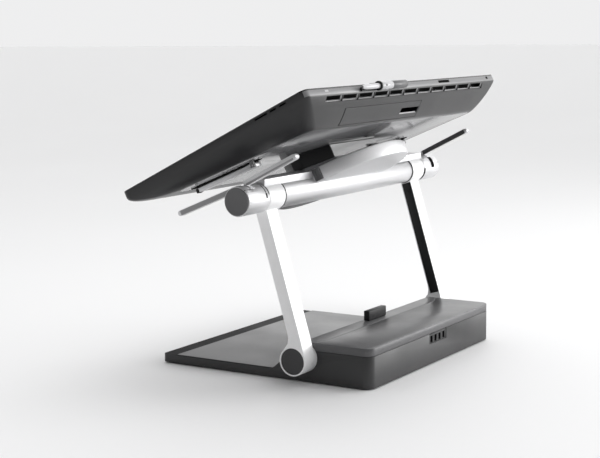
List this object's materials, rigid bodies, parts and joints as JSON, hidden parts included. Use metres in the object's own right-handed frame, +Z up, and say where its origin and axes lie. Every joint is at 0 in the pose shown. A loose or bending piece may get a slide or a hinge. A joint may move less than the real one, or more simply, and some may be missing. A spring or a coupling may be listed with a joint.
{
  "type": "pen drawing tablet",
  "caption": "Pen drawing display on a lifting stand: wedge base, pivoting arms, tilting crossbar with release levers, turning mount, fold-out legs and a pen in its holder.",
  "frame": {"origin": "on the desk, under the middle of the base", "axes": "+Z up, -Y towards the user, +X to the display's longer direction"},
  "size_m": [0.677, 0.413, 0.4862],
  "materials": {
    "base_plastic": "fine matt texture",
    "cover_plastic": "satin, finely textured",
    "mat_rubber": "soft matt mat",
    "foot_rubber": "matt",
    "aluminium": "satin, bead blasted",
    "cap_plastic": "matt",
    "black_plastic": "satin",
    "steel": "plain",
    "shell_plastic": "satin, finely textured",
    "back_plastic": "semi-gloss",
    "screen_glass": "smooth dark glass, opaque when the display is off",
    "board": "solder mask",
    "pen_plastic": "light grey satin"
  },
  "bodies": {
    "base": {"base_tray": "base_plastic", "top_cover": "cover_plastic", "front_strip": "cover_plastic", "mat": "mat_rubber", "port_panel": "black_plastic", "rest_tab": "black_plastic", "ballast_plate": "steel", "hub_board": "board", "foot_front_left": "foot_rubber", "foot_front_right": "foot_rubber", "foot_rear_left": "foot_rubber", "foot_rear_right": "foot_rubber", "bearing_block_left": "steel", "bearing_block_right": "steel"},
    "arms": {"arm_left": "aluminium", "arm_right": "aluminium", "arm_cover_left": "black_plastic", "arm_cover_right": "black_plastic", "pivot_cap_left": "cap_plastic", "pivot_cap_right": "cap_plastic", "pivot_shaft": "steel"},
    "head": {"crossbar": "aluminium", "cross_shaft": "steel", "tilt_spring": "steel", "top_rail_left": "aluminium", "top_rail_right": "aluminium", "barrel_left": "aluminium", "barrel_right": "aluminium", "end_cap_left": "cap_plastic", "end_cap_right": "cap_plastic", "mount_disc": "aluminium"},
    "rear_lever_left": {"lever_rear_left": "aluminium"},
    "rear_lever_right": {"lever_rear_right": "aluminium"},
    "front_lever_left": {"lever_front_left": "aluminium"},
    "front_lever_right": {"lever_front_right": "aluminium"},
    "turn_lock": {"rotation_lock": "cap_plastic"},
    "display": {"turn_plate": "aluminium", "vesa_block": "black_plastic", "back_shell": "shell_plastic", "back_panel": "back_plastic", "service_door": "shell_plastic", "front_glass": "screen_glass", "lcd_panel": "steel", "main_board": "board", "leg_pin_left": "steel", "leg_pin_right": "steel", "pen_clip": "pen_plastic", "clip_ring": "black_plastic"},
    "support_leg_left": {"leg_left": "aluminium", "leg_tip_left": "foot_rubber"},
    "support_leg_right": {"leg_right": "aluminium", "leg_tip_right": "foot_rubber"},
    "latch": {"release_latch": "cap_plastic"},
    "power_key": {"power_button": "black_plastic"},
    "pen": {"pen_body": "pen_plastic", "pen_cone": "black_plastic"},
    "nib": {"pen_nib": "black_plastic"},
    "side_switch": {"pen_switch": "black_plastic"}
  },
  "joints": [
    {"name": "arm_lift", "type": "hinge", "parent": "base", "child": "arms", "pos_m": [0, 0.0841, 0.042], "axis": [1, 0, 0], "range_deg": [-10, 40]},
    {"name": "display_tilt", "type": "hinge", "parent": "arms", "child": "head", "pos_m": [0, 0.02695, 0.30395], "axis": [-1, 0, 0], "range_deg": [-20, 35]},
    {"name": "display_turn", "type": "hinge", "parent": "head", "child": "display", "pos_m": [0, 0.02695, 0.30395], "axis": [0, -0.4415, 0.8973], "range_deg": [-20, 20]},
    {"name": "rear_lever_left_pull", "type": "hinge", "parent": "head", "child": "rear_lever_left", "pos_m": [0, 0.02695, 0.30395], "axis": [1, 0, 0], "range_deg": [0, 8], "stiffness_Nm_per_rad": 1, "springref_deg": -11.46},
    {"name": "rear_lever_right_pull", "type": "hinge", "parent": "head", "child": "rear_lever_right", "pos_m": [0, 0.02695, 0.30395], "axis": [1, 0, 0], "range_deg": [0, 8], "stiffness_Nm_per_rad": 1, "springref_deg": -11.46},
    {"name": "front_lever_left_pull", "type": "hinge", "parent": "head", "child": "front_lever_left", "pos_m": [0, 0.02695, 0.30395], "axis": [-1, 0, 0], "range_deg": [0, 8], "stiffness_Nm_per_rad": 1, "springref_deg": -11.46},
    {"name": "front_lever_right_pull", "type": "hinge", "parent": "head", "child": "front_lever_right", "pos_m": [0, 0.02695, 0.30395], "axis": [-1, 0, 0], "range_deg": [0, 8], "stiffness_Nm_per_rad": 1, "springref_deg": -11.46},
    {"name": "turn_lock_press", "type": "slide", "parent": "head", "child": "turn_lock", "axis": [-1, 0, 0], "range_m": [0, 0.0015], "stiffness_N_per_m": 800, "springref_m": -0.002},
    {"name": "leg_left_fold", "type": "hinge", "parent": "display", "child": "support_leg_left", "pos_m": [0, 0.01095, 0.35458], "axis": [-1, 0, 0], "range_deg": [-25, 0]},
    {"name": "leg_right_fold", "type": "hinge", "parent": "display", "child": "support_leg_right", "pos_m": [0, 0.01095, 0.35458], "axis": [1, 0, 0], "range_deg": [0, 25]},
    {"name": "latch_slide", "type": "slide", "parent": "display", "child": "latch", "axis": [1, 0, 0], "range_m": [0, 0.008], "stiffness_N_per_m": 200, "springref_m": -0.004},
    {"name": "power_press", "type": "slide", "parent": "display", "child": "power_key", "axis": [0, -0.8973, -0.4415], "range_m": [0, 0.0005], "stiffness_N_per_m": 1500, "springref_m": -0.0006},
    {"name": "pen_slide", "type": "slide", "parent": "display", "child": "pen", "axis": [1, 0, 0], "range_m": [0, 0.075]},
    {"name": "nib_press", "type": "slide", "parent": "pen", "child": "nib", "axis": [-1, 0, 0], "range_m": [0, 0.0004], "stiffness_N_per_m": 300, "springref_m": -0.0008},
    {"name": "side_switch_press", "type": "slide", "parent": "pen", "child": "side_switch", "axis": [0, 0.4415, -0.8973], "range_m": [0, 0.0003], "stiffness_N_per_m": 400, "springref_m": -0.0008}
  ]
}
